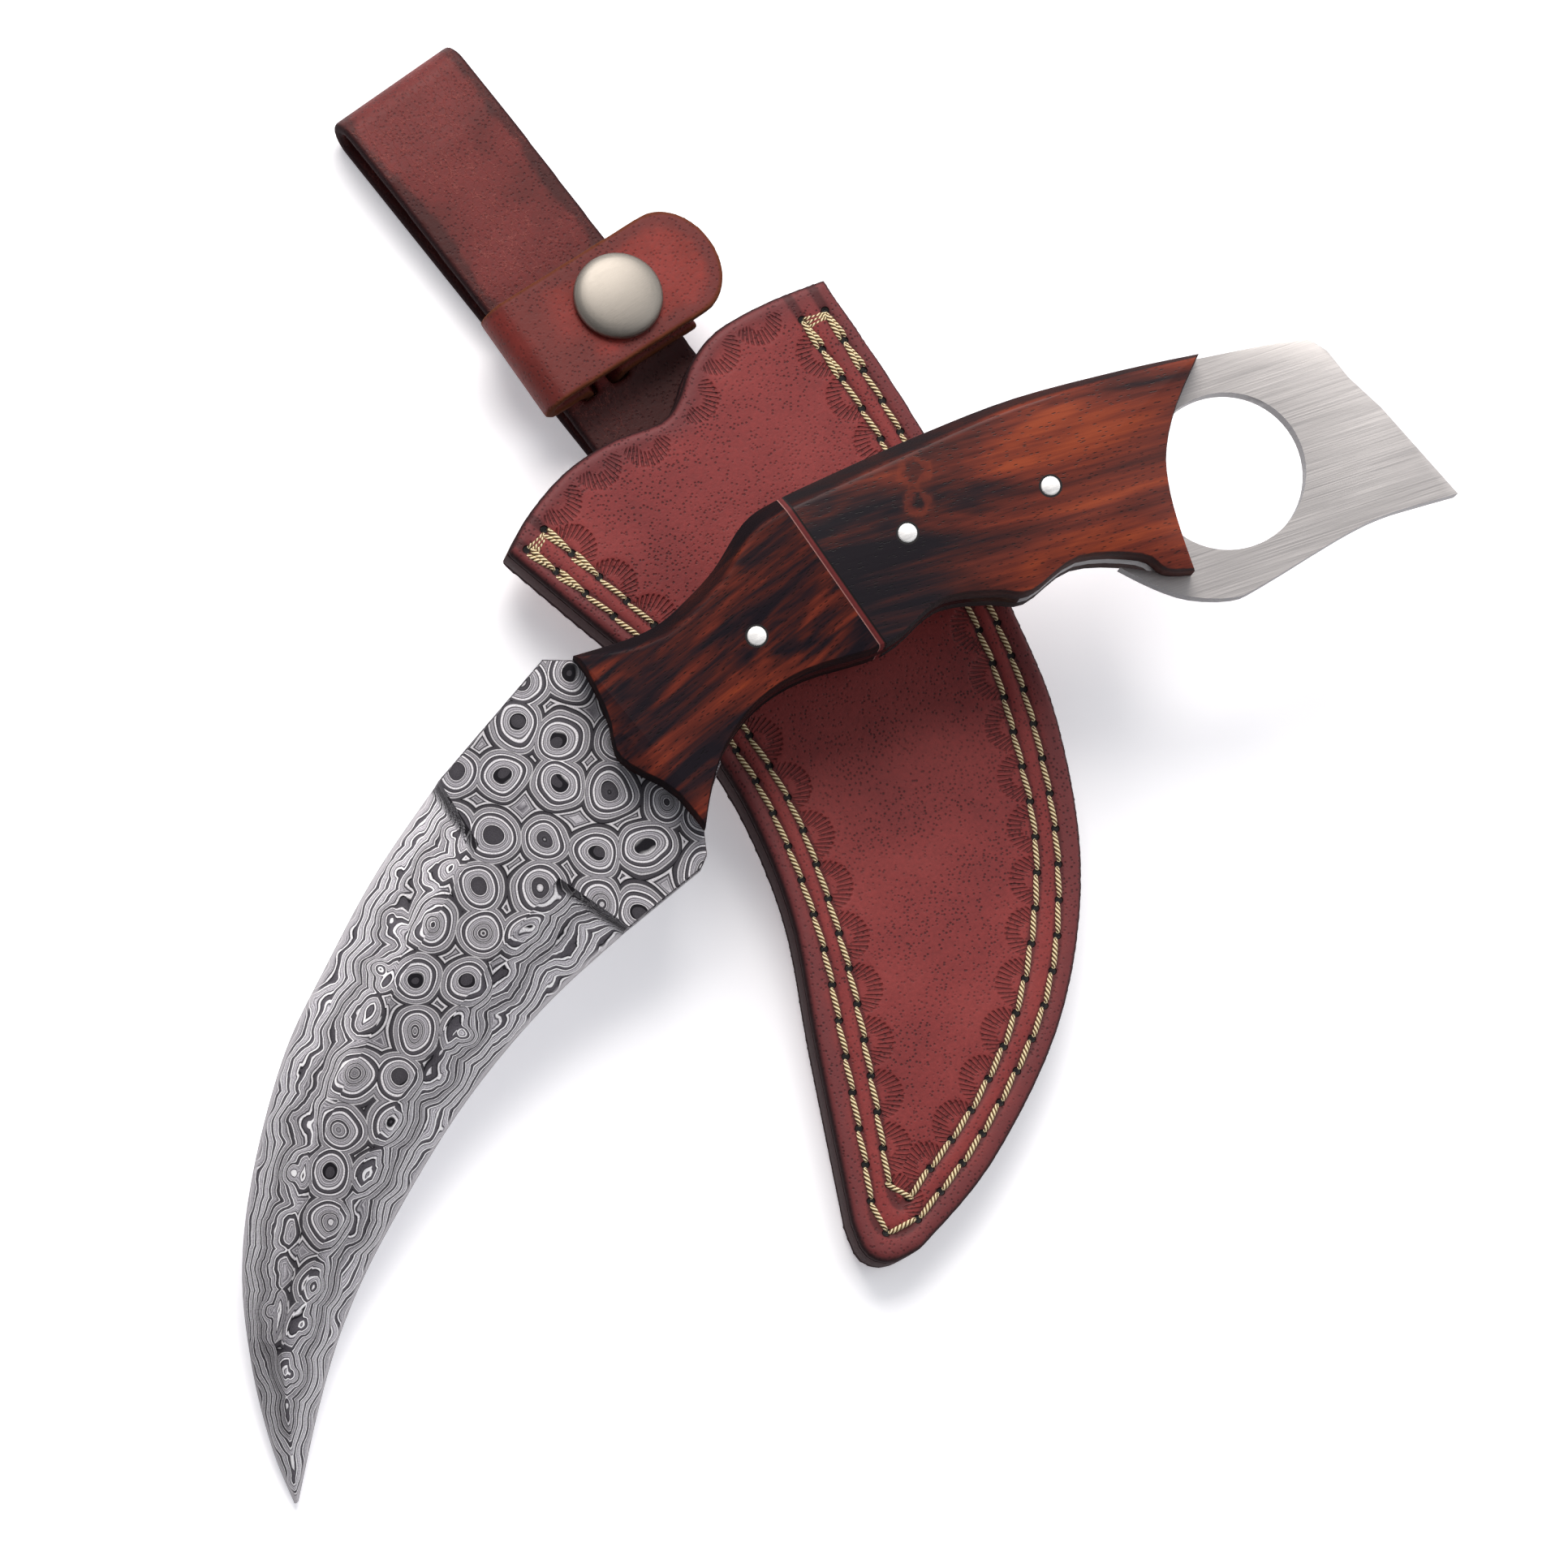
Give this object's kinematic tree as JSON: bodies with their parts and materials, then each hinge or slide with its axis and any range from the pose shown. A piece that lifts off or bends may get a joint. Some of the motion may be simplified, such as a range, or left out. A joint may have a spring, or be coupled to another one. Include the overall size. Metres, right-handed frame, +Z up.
{
  "type": "ring-handled curved knife with belt sheath",
  "caption": "Curved double-edged fixed-blade knife with a finger ring, lying across its stitched leather belt sheath with a snap strap.",
  "frame": {"origin": "middle of the footprint, on the surface that the part lies on", "axes": "+Z up, +Y along the sheath towards the belt loop, +X across the sheath towards the ring"},
  "size_m": [0.2462, 0.209, 0.0493],
  "materials": {
    "damascus_steel": "etched pattern-welded steel, satin",
    "satin_steel": "satin, fine lengthwise scratches",
    "pin_steel": "polished",
    "nickel": "brushed nickel plate",
    "rosewood": "oiled and buffed, semi-gloss",
    "fibre_spacer": "sanded vulcanised fibre",
    "sheath_leather": "dyed vegetable-tanned leather, tooled",
    "loop_leather": "dyed pull-up leather",
    "strap_leather": "dyed pull-up leather",
    "waxed_thread": "twisted waxed thread"
  },
  "bodies": {
    "sheath": {"sheath_front_panel": "sheath_leather", "sheath_back_panel": "sheath_leather", "sheath_welt": "sheath_leather", "needle_thread_outer": "waxed_thread", "needle_thread_inner": "waxed_thread", "bobbin_thread_outer": "waxed_thread", "bobbin_thread_inner": "waxed_thread", "belt_loop": "loop_leather", "belt_loop_thread": "waxed_thread", "strap_base": "strap_leather", "snap_stud": "nickel", "snap_eyelet": "nickel"},
    "strap_flap": {"strap_flap": "strap_leather", "snap_socket": "nickel", "snap_cap": "nickel"},
    "knife": {"damascus_blade": "damascus_steel", "tang_with_ring": "satin_steel", "front_scale_upper": "rosewood", "front_scale_lower": "rosewood", "rear_scale_upper": "rosewood", "rear_scale_lower": "rosewood", "spacer_upper": "fibre_spacer", "spacer_lower": "fibre_spacer", "pin_front": "pin_steel", "pin_middle": "pin_steel", "pin_rear": "pin_steel"}
  },
  "joints": [
    {"name": "knife_lift", "type": "slide", "parent": "sheath", "child": "knife", "axis": [0, 0, 1], "range_m": [0, 0.15]},
    {"name": "strap_opening", "type": "hinge", "parent": "sheath", "child": "strap_flap", "pos_m": [0.0216, 0.0512, 0.00855], "axis": [-0.061, -0.9981, 0], "range_deg": [0, 110]}
  ]
}
